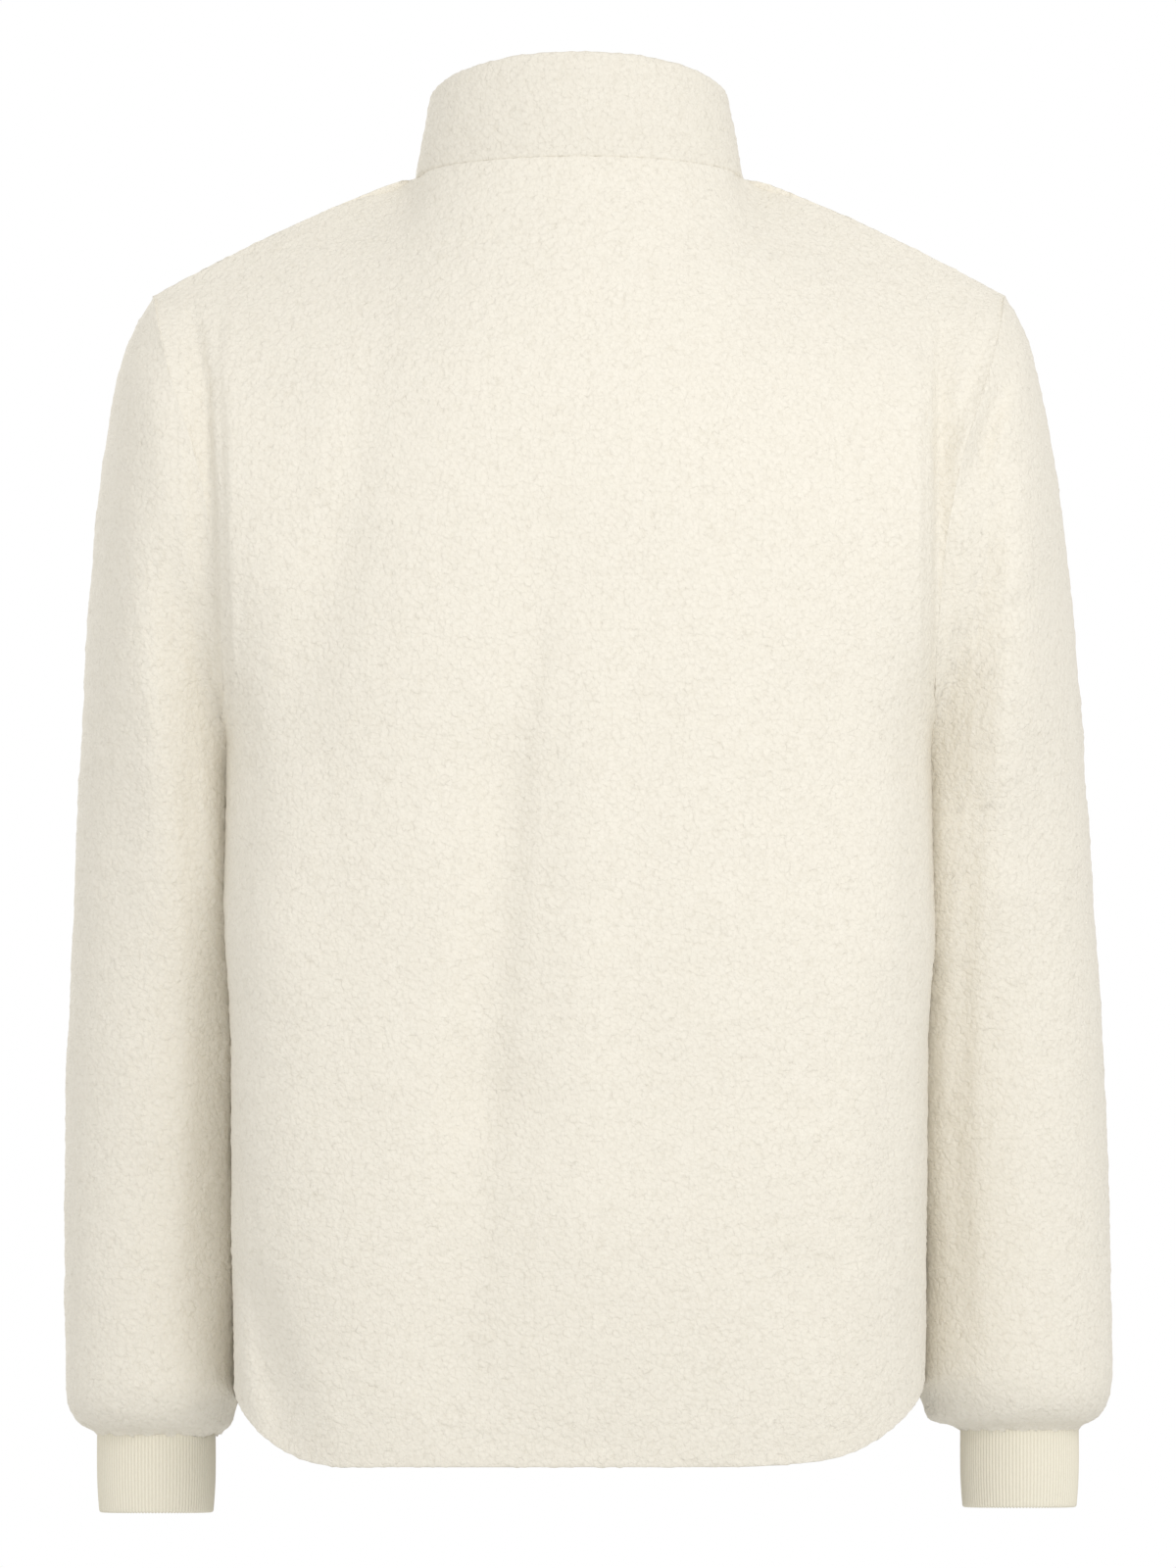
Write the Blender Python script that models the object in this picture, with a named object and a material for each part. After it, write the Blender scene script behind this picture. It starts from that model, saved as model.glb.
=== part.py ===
"""A sherpa fleece jacket, filled out as it is worn, with nobody in it.

Stand collar, set-in sleeves with ribbed cuffs, a plain zip from hem to collar and a hem whose corners are
rounded off at the side seams. Metres, +Z up. The origin is inside the neck, level with the middle of the
back neck seam, the back faces +Y and the wearer's left is +X. Every piece of cloth is a closed wall
between an outer skin, worked out from the sizes below, and an inner skin a wall's thickness behind it.
"""

import math

import bmesh
import bpy
import numpy as np
from mathutils import Matrix, Vector

FLEECE = 0.004  # the body and sleeve fleece, with its pile
COLLAR_WALL = 0.006  # two layers of fleece
RIB_WALL = 0.003
SEAM_GAP = 0.0003  # between pieces that are sewn or set together
BODY_CLEARANCE = 0.003  # between a sleeve and the side of the body

HALF_COLUMNS = 11  # cells from a centre line to the side seam or the armhole
NECK_COLUMNS = 5  # how many of them lie along the neck seam
BODY_CELLS = 14  # from hem to underarm
ARMHOLE_CELLS = 11  # from underarm to shoulder tip, on the back and again on the front
COLLAR_ROWS = (0.0, 0.35, 0.70, 1.0)  # shares of the collar's height

HEM_Z = -0.747
UNDERARM_Z = -0.330
SIDE_Y = -0.004  # the side seam
SECTION_POWER = 3.3  # 2 is an ellipse, more is squarer
SHOULDER_ROUND = (2.4, 1.7)  # how the body rolls over to the shoulder seam

# Height, half width, and how far back and front reach at the centre line
BODY_ROWS = (
    (-0.747, 0.1975, 0.1170, -0.1270),
    (-0.640, 0.1985, 0.1215, -0.1310),
    (-0.520, 0.1993, 0.1255, -0.1345),
    (-0.420, 0.2002, 0.1295, -0.1372),
    (-0.330, 0.2015, 0.1330, -0.1390),
)
# Height and depth of the centre line above the underarm
BACK_CENTRE = (
    (-0.330, 0.1330),
    (-0.240, 0.1345),
    (-0.150, 0.1280),
    (-0.080, 0.1070),
    (-0.030, 0.0770),
    (0.0, 0.0540),
)
FRONT_CENTRE = (
    (-0.330, -0.1390),
    (-0.250, -0.1385),
    (-0.180, -0.1310),
    (-0.120, -0.1165),
    (-0.070, -0.0950),
)

# Half width, height, and depth on the back and the front, from underarm to shoulder tip
ARMHOLE = (
    (0.2015, -0.330, -0.004, -0.004),
    (0.2025, -0.322, 0.036, -0.038),
    (0.2040, -0.290, 0.066, -0.064),
    (0.2085, -0.230, 0.081, -0.074),
    (0.2172, -0.179, 0.078, -0.072),
    (0.2274, -0.146, 0.066, -0.063),
    (0.2362, -0.116, 0.048, -0.049),
    (0.2420, -0.092, 0.024, -0.030),
    (0.2440, -0.079, -0.004, -0.004),
)
SHOULDER_POWER = 1.22  # how the shoulder seam steepens towards its tip
EASE_FROM_Z = -0.450  # above this the body is eased smooth between its seams
EASE_ROUNDS = 14
CURVE_STEPS = 400  # how finely a curve is drawn before it is cut into even cells

# The corner of the hem: where it starts, how high it ends and how round it is
HEM_CORNER_X = 0.1406
HEM_LIFT = 0.042
HEM_CORNER_POWER = 1.65
HEM_FADE_Z = -0.600  # above this the rows lie level again

# Half width, centre, reach to the back and front, side height, rise at the back, drop at the front
NECK_SEAM = dict(half=0.0943, y=-0.020, back=0.074, front=0.075, z=-0.012, rise=0.012, drop=0.058)
COLLAR_TOP = dict(half=0.0855, y=-0.021, back=0.067, front=0.068, z=0.0336, rise=0.0265, drop=0.036)
COLLAR_BULGE = 0.0015

# Outer edge x and z, inner edge x and z, centre y, half depth, from armhole to cuff
SLEEVE_ROWS = (
    (0.2440, -0.079, 0.2015, -0.330, -0.004, 0.0600),
    (0.2575, -0.102, 0.2010, -0.344, -0.009, 0.0620),
    (0.2660, -0.134, 0.1960, -0.360, -0.015, 0.0640),
    (0.2730, -0.175, 0.1940, -0.382, -0.021, 0.0660),
    (0.2785, -0.226, 0.1935, -0.409, -0.027, 0.0680),
    (0.2832, -0.282, 0.1940, -0.440, -0.033, 0.0685),
    (0.2862, -0.340, 0.1940, -0.475, -0.039, 0.0680),
    (0.2890, -0.400, 0.1940, -0.512, -0.045, 0.0670),
    (0.2915, -0.460, 0.1945, -0.550, -0.050, 0.0660),
    (0.2938, -0.520, 0.1950, -0.590, -0.054, 0.0650),
    (0.2953, -0.576, 0.1955, -0.627, -0.057, 0.0635),
    (0.2955, -0.628, 0.1958, -0.661, -0.059, 0.0620),
    (0.2953, -0.672, 0.1962, -0.687, -0.059, 0.0605),
    (0.2948, -0.701, 0.1983, -0.7055, -0.059, 0.0585),
    (0.2922, -0.717, 0.2025, -0.7180, -0.059, 0.0530),
    (0.2850, -0.7265, 0.2050, -0.7265, -0.059, 0.0440),
)
SLEEVE_POWER = 2.2
ARMHOLE_PULL = (1.0, 0.55, 0.2, 0.0)  # how far the first rings keep the armhole's own shape
SPLAY_START_Z = -0.200
SPLAY_END_Z = -0.700
SPLAY = {"left": 0.0, "right": 0.011}  # how much wider the sleeve hangs at its end
SLEEVE_RISE = {"left": 0.0, "right": 0.003}  # how much higher it ends

# Height, half width and half depth of a cuff
CUFF_ROWS = (
    (-0.7765, 0.0325, 0.0330),
    (-0.7620, 0.0336, 0.0342),
    (-0.7450, 0.0339, 0.0345),
    (-0.7255, 0.0337, 0.0343),
)
CUFF_X = 0.2428
CUFF_Y = -0.059
CUFF_SPLAY = 0.9
SLEEVE_END_Z = -0.7300

# The largest folds: start x and z, end x and z, half width, depth (a ridge is negative), and the face,
# 1 for the back and -1 for the front
FOLDS = (
    (0.016, -0.220, 0.046, -0.360, 0.026, 0.0035, 1),
    (0.046, -0.360, 0.050, -0.540, 0.024, 0.0055, 1),
    (0.050, -0.540, 0.064, -0.690, 0.026, 0.0050, 1),
    (0.000, -0.330, 0.010, -0.600, 0.030, -0.0025, 1),
    (0.112, -0.110, 0.134, -0.230, 0.024, 0.0030, 1),
    (0.134, -0.230, 0.164, -0.330, 0.024, 0.0035, 1),
    (-0.178, -0.470, -0.184, -0.680, 0.022, 0.0030, 1),
    (0.178, -0.672, 0.182, -0.690, 0.028, 0.0045, 1),
    (-0.128, -0.640, -0.130, -0.660, 0.030, 0.0020, 1),
    (-0.090, -0.210, -0.100, -0.300, 0.026, 0.0018, 1),
    (0.120, -0.250, 0.080, -0.420, 0.028, 0.0040, -1),
    (0.080, -0.420, 0.085, -0.620, 0.028, 0.0035, -1),
    (-0.115, -0.230, -0.090, -0.400, 0.026, 0.0035, -1),
    (-0.120, -0.500, -0.105, -0.680, 0.030, 0.0045, -1),
    (0.264, -0.150, 0.250, -0.270, 0.016, 0.0022, 1),
    (-0.264, -0.130, -0.228, -0.230, 0.016, 0.0028, 1),
    (0.240, -0.420, 0.275, -0.470, 0.018, 0.0025, -1),
    (0.235, -0.500, 0.272, -0.540, 0.018, 0.0022, -1),
    (-0.240, -0.440, -0.280, -0.480, 0.018, 0.0025, -1),
    (-0.238, -0.530, -0.280, -0.570, 0.018, 0.0020, -1),
)

# The zip: chain and tapes run up the front edges, behind the wall's inner face
ZIP_SLOT_HALF = 0.0045
CHAIN_HALF = 0.0030
CHAIN_THICK = 0.0026
CHAIN_FORWARD = 0.0021  # from the tapes' front face to the chain's
TAPE_INNER_X = 0.0033
TAPE_WIDTH = 0.0127
TAPE_THICK = 0.0008

SLIDER_PLATE = (0.0084, 0.0014, 0.0110)  # width, thickness, height
SLIDER_BACK = (0.0084, 0.0012, 0.0110)
SLIDER_POST = (0.0040, 0.0040)  # width and height of the wedge between the rows of teeth
BRIDGE_WIDTH = 0.0032
BRIDGE_WALL = 0.0014
BRIDGE_TUNNEL = (0.0036, 0.0030)  # height and depth of the opening that the pull's bar turns in
PULL_LIFT = 0.0020  # how far the pull's bar stands in front of the fleece
BAR_RADIUS = 0.00075
BAR_SIDES = 12
BAR_INSET = 0.0002  # from the tab's sides to the bar's ends
# The tab, its two arms, the window between them, and how far the arms reach past the bar and into the tab
PULL = dict(width=0.0070, length=0.0280, thick=0.0014, arm=0.0015, window=0.0050, above=0.0007, into=0.0010)
BEVEL = 0.0003
SHARP_EDGE = 50  # degrees, past which an edge stays crisp

COLOURS = {
    "fleece": ((0.86, 0.82, 0.72), 0.95, 0.0),
    "rib": ((0.78, 0.74, 0.62), 0.9, 0.0),
    "zip_cloth": ((0.74, 0.70, 0.60), 0.8, 0.0),
    "zip_teeth": ((0.80, 0.76, 0.66), 0.45, 0.0),
    "zip_metal": ((0.70, 0.69, 0.66), 0.35, 1.0),
}


# ---- curves and tables ----


def between(rows, keys):
    """The table's columns at these keys, smooth through its rows. The first column is the key."""
    rows = np.asarray(rows, float)
    key = rows[:, 0]
    keys = np.atleast_1d(keys).astype(float)
    slopes = np.gradient(rows, key, axis=0)
    i = np.clip(np.searchsorted(key, keys) - 1, 0, len(key) - 2)
    step = (key[i + 1] - key[i])[:, None]
    t = (keys - key[i])[:, None] / step
    return (
        (2 * t**3 - 3 * t**2 + 1) * rows[i]
        + (t**3 - 2 * t**2 + t) * step * slopes[i]
        + (3 * t**2 - 2 * t**3) * rows[i + 1]
        + (t**3 - t**2) * step * slopes[i + 1]
    )


def through(points):
    """A smooth curve through these points."""
    points = np.asarray(points, float)
    keyed = np.column_stack([np.arange(len(points)), points])
    return between(keyed, np.linspace(0, len(points) - 1, CURVE_STEPS))[:, 1:]


def evenly(points, cells):
    """The polyline cut into cells of equal length."""
    points = np.asarray(points, float)
    run = np.r_[0, np.cumsum(np.linalg.norm(np.diff(points, axis=0), axis=1))]
    at = np.linspace(0, run[-1], cells + 1)
    return np.column_stack([np.interp(at, run, column) for column in points.T])


def unit(vectors):
    return vectors / np.linalg.norm(vectors, axis=-1, keepdims=True)


def squared(value, power):
    """A sine or cosine pushed out to a superellipse of this power."""
    return np.sign(value) * np.abs(value) ** (2 / power)


def mirrored(skin):
    """The other side's skin, with its columns turned round so that it still faces out."""
    return skin[:, ::-1] * np.array([-1, 1, 1])


# ---- the body ----


def neck_curve(ring, angles):
    """Points of a neck ring. Angle 0 is the middle of the back and pi the middle of the front."""
    cosine = np.cos(angles)
    reach = np.where(cosine > 0, ring["back"], ring["front"])
    lift = np.where(cosine > 0, ring["rise"], ring["drop"])
    x = ring["half"] * np.sin(angles)
    return np.column_stack([x, ring["y"] + reach * cosine, ring["z"] + lift * cosine])


def neck_angles(facing):
    """Angles along half the neck, from a centre line to the neck point."""
    start = 0 if facing > 0 else math.pi - math.asin(ZIP_SLOT_HALF / NECK_SEAM["half"])
    return np.linspace(start, math.pi / 2, CURVE_STEPS)


def armhole_edge(facing):
    """The armhole from underarm to shoulder tip, on the back or the front."""
    depth = 2 if facing > 0 else 3
    return evenly(through([(row[0], row[depth], row[1]) for row in ARMHOLE]), ARMHOLE_CELLS)


def top_edge(facing):
    """Half the neck seam and the shoulder seam, from a centre line to the shoulder tip."""
    neck = evenly(neck_curve(NECK_SEAM, neck_angles(facing)), NECK_COLUMNS)
    tip = armhole_edge(facing)[-1]
    share = np.linspace(0, 1, CURVE_STEPS)[:, None]
    seam = neck[-1] + (tip - neck[-1]) * np.hstack([share, share, share**SHOULDER_POWER])
    return np.vstack([neck, evenly(seam, HALF_COLUMNS - NECK_COLUMNS)[1:]])


def body_section(z, facing):
    """Half a level section, from the centre line to the side seam."""
    _, half, back, front = between(BODY_ROWS, z)[0]
    start = 0 if facing > 0 else ZIP_SLOT_HALF
    reach = (back if facing > 0 else front) - SIDE_Y
    angle = np.linspace(0, math.pi / 2, CURVE_STEPS)
    x = start + (half - start) * squared(np.sin(angle), SECTION_POWER)
    y = SIDE_Y + reach * squared(np.cos(angle), SECTION_POWER)
    return evenly(np.column_stack([x, y, np.full_like(x, z)]), HALF_COLUMNS)


def hem_lift(x, half):
    """How far the hem stands above its middle, beside the side seam."""
    share = np.clip((x - HEM_CORNER_X) / (half - HEM_CORNER_X), 0, 1)
    return HEM_LIFT * (1 - (1 - share**HEM_CORNER_POWER) ** (1 / HEM_CORNER_POWER))


def lower_body(facing):
    rows = []
    for z in np.linspace(HEM_Z, UNDERARM_Z, BODY_CELLS + 1):
        row = body_section(z, facing)
        fade = np.clip((HEM_FADE_Z - z) / (HEM_FADE_Z - HEM_Z), 0, 1)
        row[:, 2] += hem_lift(row[:, 0], row[-1, 0]) * fade
        rows.append(row)
    return np.array(rows)


def upper_body(facing, base):
    """Rows from the underarm to the neck and shoulder seams, each ending on the armhole."""
    start = base[0, 0]
    top, edge = top_edge(facing), armhole_edge(facing)
    tip = edge[-1]
    centre_line = BACK_CENTRE if facing > 0 else FRONT_CENTRE
    column = np.linspace(0, 1, HALF_COLUMNS + 1)
    width_low = (base[:, 0] - start) / (base[-1, 0] - start)
    width_high = (top[:, 0] - start) / (tip[0] - start)
    depth_low = (base[:, 1] - base[-1, 1]) / (base[0, 1] - base[-1, 1])
    depth_high = (top[:, 1] - tip[1]) / (top[0, 1] - tip[1])
    power, root = SHOULDER_ROUND
    rows = []
    for step in range(1, ARMHOLE_CELLS):
        share, end = step / ARMHOLE_CELLS, edge[step]
        risen = share + ((end[2] - UNDERARM_Z) / (tip[2] - UNDERARM_Z) - share) * column**3
        x = start + (end[0] - start) * (width_low + (width_high - width_low) * share)
        z = UNDERARM_Z + (top[:, 2] - UNDERARM_Z) * risen
        depth = depth_high + (depth_low - depth_high) * (1 - risen**power) ** (1 / root)
        y = end[1] + (between(centre_line, z[0])[0, 1] - end[1]) * depth
        rows.append(np.column_stack([x, y, z]))
    return np.array(rows + [top])


def half_panel(facing):
    """Half of the back or the front on the wearer's left, from the centre line outwards."""
    lower = lower_body(facing)
    return np.concatenate([lower, upper_body(facing, lower[-1])])


def eased(skin):
    """The skin with its upper rows drawn smooth between edges that stay where they are."""
    height = skin[1:-1, skin.shape[1] // 2, 2]
    hold = np.clip((height - EASE_FROM_Z) / (UNDERARM_Z - EASE_FROM_Z), 0, 1)
    for _ in range(EASE_ROUNDS):
        around = (skin[:-2, 1:-1] + skin[2:, 1:-1] + skin[1:-1, :-2] + skin[1:-1, 2:]) / 4
        skin[1:-1, 1:-1] += (around - skin[1:-1, 1:-1]) * hold[:, None, None] / 2
    return skin


def collar_skin():
    """From the wearer's left front edge round the back to the right front edge."""
    front, back = top_edge(-1)[: NECK_COLUMNS + 1], top_edge(1)[: NECK_COLUMNS + 1]
    half_seam = np.vstack([front, back[-2::-1]])
    angles = np.r_[
        np.linspace(neck_angles(-1)[0], math.pi / 2, NECK_COLUMNS + 1),
        np.linspace(math.pi / 2, 0, NECK_COLUMNS + 1)[1:],
    ]
    half_top = neck_curve(COLLAR_TOP, angles)
    half_top[0, 0] = ZIP_SLOT_HALF
    middle = np.array([0, NECK_SEAM["y"], 0])
    rows = []
    for share in COLLAR_ROWS:
        row = half_seam + (half_top - half_seam) * share
        outward = unit((row - middle) * np.array([1, 1, 0]))
        row = row + outward * COLLAR_BULGE * math.sin(math.pi * share) * np.array([0, 1, 0])
        rows.append(np.vstack([row, (row * np.array([-1, 1, 1]))[-2::-1]]))
    return np.array(rows)


# ---- sleeves and cuffs ----


def body_half_width(y, z):
    """Half the body's width below the underarm, at this depth and height."""
    _, half, back, front = between(BODY_ROWS, np.clip(z, HEM_Z, UNDERARM_Z)).T
    reach = np.where(y > SIDE_Y, back, front) - SIDE_Y
    share = np.clip(np.abs((y - SIDE_Y) / reach), 0, 1)
    return half * (1 - share**SECTION_POWER) ** (1 / SECTION_POWER)


def oval(outer, inner, centre_y, half_depth, power):
    """A ring from its outer edge round the back to its inner edge and round the front."""
    centre, half = (outer + inner) / 2, (outer - inner) / 2
    rings = []
    for first, last in ((0, math.pi), (math.pi, 2 * math.pi)):
        angle = np.linspace(first, last, CURVE_STEPS)[:, None]
        across = squared(np.cos(angle), power) * np.array([half[0], 0, half[1]])
        deep = squared(np.sin(angle), power) * np.array([0, half_depth, 0])
        rings.append(evenly(np.array([centre[0], centre_y, centre[1]]) + across + deep, ARMHOLE_CELLS))
    return np.vstack([rings[0], rings[1][1:]])


def cuff_ring(side, z, grow=0.0):
    _, half, depth = between(CUFF_ROWS, z)[0]
    x = CUFF_X + CUFF_SPLAY * SPLAY[side]
    height = z + SLEEVE_RISE[side]
    ends = np.array([x + half + grow, height]), np.array([x - half - grow, height])
    return oval(*ends, CUFF_Y, depth + grow, 2)


def sleeve_skin(side):
    """Rows from the cuff up to the armhole, laid out for the wearer's left."""
    armhole = np.vstack([armhole_edge(1)[::-1], armhole_edge(-1)[1:]])
    rings = []
    for outer_x, outer_z, inner_x, inner_z, centre_y, half_depth in SLEEVE_ROWS:
        share = np.clip((SPLAY_START_Z - outer_z) / (SPLAY_START_Z - SPLAY_END_Z), -1, 1)
        rise = SLEEVE_RISE[side] * max(share, 0)
        outer = np.array([outer_x + SPLAY[side] * share, outer_z + rise])
        inner = np.array([inner_x, inner_z + rise])
        rings.append(oval(outer, inner, centre_y, half_depth, SLEEVE_POWER))
    own_shape = armhole - rings[0]
    for ring, pull in zip(rings, ARMHOLE_PULL):
        ring += own_shape * pull
    for ring in rings[1:]:
        near = body_half_width(ring[:, 1], ring[:, 2]) + BODY_CLEARANCE
        ring[:, 0] = np.where(ring[:, 2] < UNDERARM_Z, np.maximum(ring[:, 0], near), ring[:, 0])
    rings[0] = armhole
    rings.append(cuff_ring(side, SLEEVE_END_Z, SEAM_GAP))
    return np.array(rings[::-1])


def cuff_skin(side):
    heights = [row[0] for row in CUFF_ROWS]
    return np.array([cuff_ring(side, z) for z in heights])


# ---- skins, normals and folds ----


def cloth_skins():
    """The outer skin of every piece of cloth, as rows from low to high and columns that face out."""
    half_back, front = half_panel(1), eased(half_panel(-1))
    other_half = half_back * np.array([-1, 1, 1])
    return {
        "back": eased(np.concatenate([half_back[:, ::-1], other_half[:, 1:]], axis=1)),
        "front_left": front,
        "front_right": mirrored(front),
        "collar": collar_skin(),
        "sleeve_left": sleeve_skin("left"),
        "sleeve_right": mirrored(sleeve_skin("right")),
        "cuff_left": cuff_skin("left"),
        "cuff_right": mirrored(cuff_skin("right")),
    }


def shared_normals(skins):
    """Outward normals at every point, the same on both sides of a seam and square across the zip's slot."""
    points = np.concatenate([skin.reshape(-1, 3) for skin in skins.values()])
    at_zip = np.isclose(np.abs(points[:, 0]), ZIP_SLOT_HALF, atol=1e-6)
    sums = []
    for skin in skins.values():
        face = np.cross(skin[1:, 1:] - skin[:-1, :-1], skin[1:, :-1] - skin[:-1, 1:])
        total = np.zeros_like(skin)
        for row, column in ((0, 0), (0, 1), (1, 0), (1, 1)):
            rows, columns = face.shape[:2]
            total[row : row + rows, column : column + columns] += face
        sums.append(total.reshape(-1, 3))
    _, same = np.unique(np.round(points, 6), axis=0, return_inverse=True)
    same = same.reshape(-1)
    pooled = np.zeros((same.max() + 1, 3))
    np.add.at(pooled, same, np.concatenate(sums))
    pooled[at_zip[np.unique(same, return_index=True)[1]], 0] = 0
    normals = unit(pooled)[same]
    ends = np.cumsum([skin.shape[0] * skin.shape[1] for skin in skins.values()])
    parts = np.split(normals, ends[:-1])
    return {name: part.reshape(skins[name].shape) for name, part in zip(skins, parts)}


def fold_depth(points, normals):
    """How far the folds press each point in."""
    depth = np.zeros(points.shape[:-1])
    flat = points[..., [0, 2]]
    for x0, z0, x1, z1, width, deep, facing in FOLDS:
        start, run = np.array([x0, z0]), np.array([x1 - x0, z1 - z0])
        share = np.clip((flat - start) @ run / (run @ run), 0, 1)
        away = np.linalg.norm(flat - start - share[..., None] * run, axis=-1)
        depth += deep * np.exp(-((away / width) ** 2)) * np.clip(normals[..., 1] * facing, 0, 1)
    return depth


def folded(skins):
    normals = shared_normals(skins)
    return {
        name: skin - normals[name] * fold_depth(skin, normals[name])[..., None]
        for name, skin in skins.items()
    }


def pulled_back(skin, normals):
    """The skin with each edge drawn in by half a seam gap."""
    skin = skin.copy()
    closed = np.allclose(skin[:, 0], skin[:, -1])
    directions = [(skin, normals)]
    if not closed:
        directions.append((skin.transpose(1, 0, 2), normals.transpose(1, 0, 2)))
    for rows, facing in directions:
        for edge, inside in ((0, 1), (-1, -2)):
            across = unit(np.cross(facing[edge], np.gradient(rows[edge], axis=0)))
            inward = np.sum(across * (rows[inside] - rows[edge]), axis=-1, keepdims=True)
            rows[edge] += across * np.sign(inward) * SEAM_GAP / 2
    if closed:
        skin[:, -1] = skin[:, 0]
    return skin


# ---- objects ----


def clear_scene():
    for obj in list(bpy.data.objects):
        bpy.data.objects.remove(obj, do_unlink=True)


def collection(name):
    made = bpy.data.collections.new(name)
    bpy.context.scene.collection.children.link(made)
    return made


def material(name):
    if name in bpy.data.materials:
        return bpy.data.materials[name]
    colour, roughness, metallic = COLOURS[name]
    made = bpy.data.materials.new(name)
    made.use_nodes = True
    shader = made.node_tree.nodes["Principled BSDF"]
    shader.inputs["Base Color"].default_value = (*colour, 1)
    shader.inputs["Roughness"].default_value = roughness
    shader.inputs["Metallic"].default_value = metallic
    return made


def add_object(name, bm, finish, into):
    bmesh.ops.recalc_face_normals(bm, faces=bm.faces[:])
    mesh = bpy.data.meshes.new(name)
    bm.to_mesh(mesh)
    bm.free()
    mesh.shade_smooth()
    mesh.set_sharp_from_angle(angle=math.radians(SHARP_EDGE))
    mesh.materials.append(material(finish))
    obj = bpy.data.objects.new(name, mesh)
    into.objects.link(obj)
    return obj


def wall(name, outer, inner, finish, into):
    """A closed wall between two skins that share their rows and columns."""
    rows, columns = outer.shape[:2]
    bm = bmesh.new()
    bmesh.ops.create_grid(bm, x_segments=columns - 1, y_segments=rows - 1, size=1)
    row_of, column_of = (bm.verts.layers.int.new(layer) for layer in ("row", "column"))
    for vert in bm.verts:
        vert[row_of] = round((vert.co.y + 1) / 2 * (rows - 1))
        vert[column_of] = round((vert.co.x + 1) / 2 * (columns - 1))
        vert.co = outer[vert[row_of], vert[column_of]]
    bmesh.ops.remove_doubles(bm, verts=bm.verts[:], dist=1e-7)
    behind = bmesh.ops.extrude_face_region(bm, geom=bm.faces[:])["geom"]
    for vert in behind:
        if isinstance(vert, bmesh.types.BMVert):
            vert.co = inner[vert[row_of], vert[column_of]]
    # Seams meet in the same triangles on both sides.
    bmesh.ops.triangulate(bm, faces=bm.faces[:], quad_method="SHORT_EDGE")
    return add_object(name, bm, finish, into)


def make_cloth(skins, normals, into):
    thickness = {"collar": COLLAR_WALL, "cuff_left": RIB_WALL, "cuff_right": RIB_WALL}
    for side in SPLAY:
        normals["sleeve_" + side][0] = (0, 0, -1)  # the sleeve's end stands square round its cuff
        normals["sleeve_" + side][-1, ARMHOLE_CELLS] = (0, 0, -1)  # and folds under at the underarm
    for name, skin in skins.items():
        outer = pulled_back(skin, normals[name])
        inner = outer - normals[name] * thickness.get(name, FLEECE)
        wall(name, outer, inner, "rib" if name.startswith("cuff") else "fleece", into)


# ---- the zip ----


def zip_rows(skins, normals):
    """The wearer's left front edge, hem to collar top: edge points, the next column's, normals, walls."""
    parts = []
    for name, thickness, rows in (("front_left", FLEECE, slice(0, -1)), ("collar", COLLAR_WALL, slice(None))):
        skin, normal = skins[name][rows], normals[name][rows]
        thick = np.full((len(skin), 1), thickness)
        parts.append((skin[:, 0], skin[:, 1], normal[:, 0], normal[:, 1], thick))
    return [np.concatenate(column) for column in zip(*parts)]


def make_tapes(edge, beside, facing, facing_beside, thick, into):
    start, end = edge - facing * thick, beside - facing_beside * thick
    along = unit(end - start)
    first = start + along * (TAPE_INNER_X - start[:, :1]) / along[:, :1]
    outer = np.stack([first, first + along * TAPE_WIDTH], axis=1) - facing[:, None] * SEAM_GAP
    inner = outer - facing[:, None] * TAPE_THICK
    wall("zip_tape_left", outer, inner, "zip_cloth", into)
    wall("zip_tape_right", mirrored(outer), mirrored(inner), "zip_cloth", into)


def make_chain(edge, facing, thick, end, into):
    """The closed row of teeth as one strip, from the hem up to the slider."""
    middle = np.vstack([edge[:-1] * np.array([0, 1, 1]), end[0]])
    facing = unit(np.vstack([facing[:-1], end[1]]) * np.array([0, 1, 1]))
    front = middle - facing * (np.vstack([thick[:-1], thick[-1:]]) + SEAM_GAP - CHAIN_FORWARD)
    outer = np.stack([front - [CHAIN_HALF, 0, 0], front + [CHAIN_HALF, 0, 0]], axis=1)
    wall("zip_chain", outer, outer - facing[:, None] * CHAIN_THICK, "zip_teeth", into)


def box(size, centre):
    bm = bmesh.new()
    bmesh.ops.create_cube(bm, size=1)
    bmesh.ops.scale(bm, vec=size, verts=bm.verts[:])
    bmesh.ops.translate(bm, vec=centre, verts=bm.verts[:])
    bmesh.ops.bevel(
        bm, geom=bm.edges[:], offset=BEVEL, affect="EDGES", segments=1, profile=0.5, material=-1
    )
    return bm


def slider_frame(edge):
    """Where the slider sits, its own Y into the jacket and its own Z up along the zip."""
    low, high = (Vector((0, *point[1:])) for point in edge[-2:])
    up = (high - low).normalized()
    inward = up.cross(Vector((1, 0, 0)))
    turn = Matrix((Vector((1, 0, 0)), inward, up)).transposed().to_4x4()
    return Matrix.Translation((low + high) / 2) @ turn


def merge(target, others):
    """Joins the others to the target, and leaves them out of sight."""
    for other in others:
        other.hide_render = True
        other.display_type = "WIRE"
        join = target.modifiers.new("join", "BOOLEAN")
        join.operation = "UNION"
        join.object = other


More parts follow.
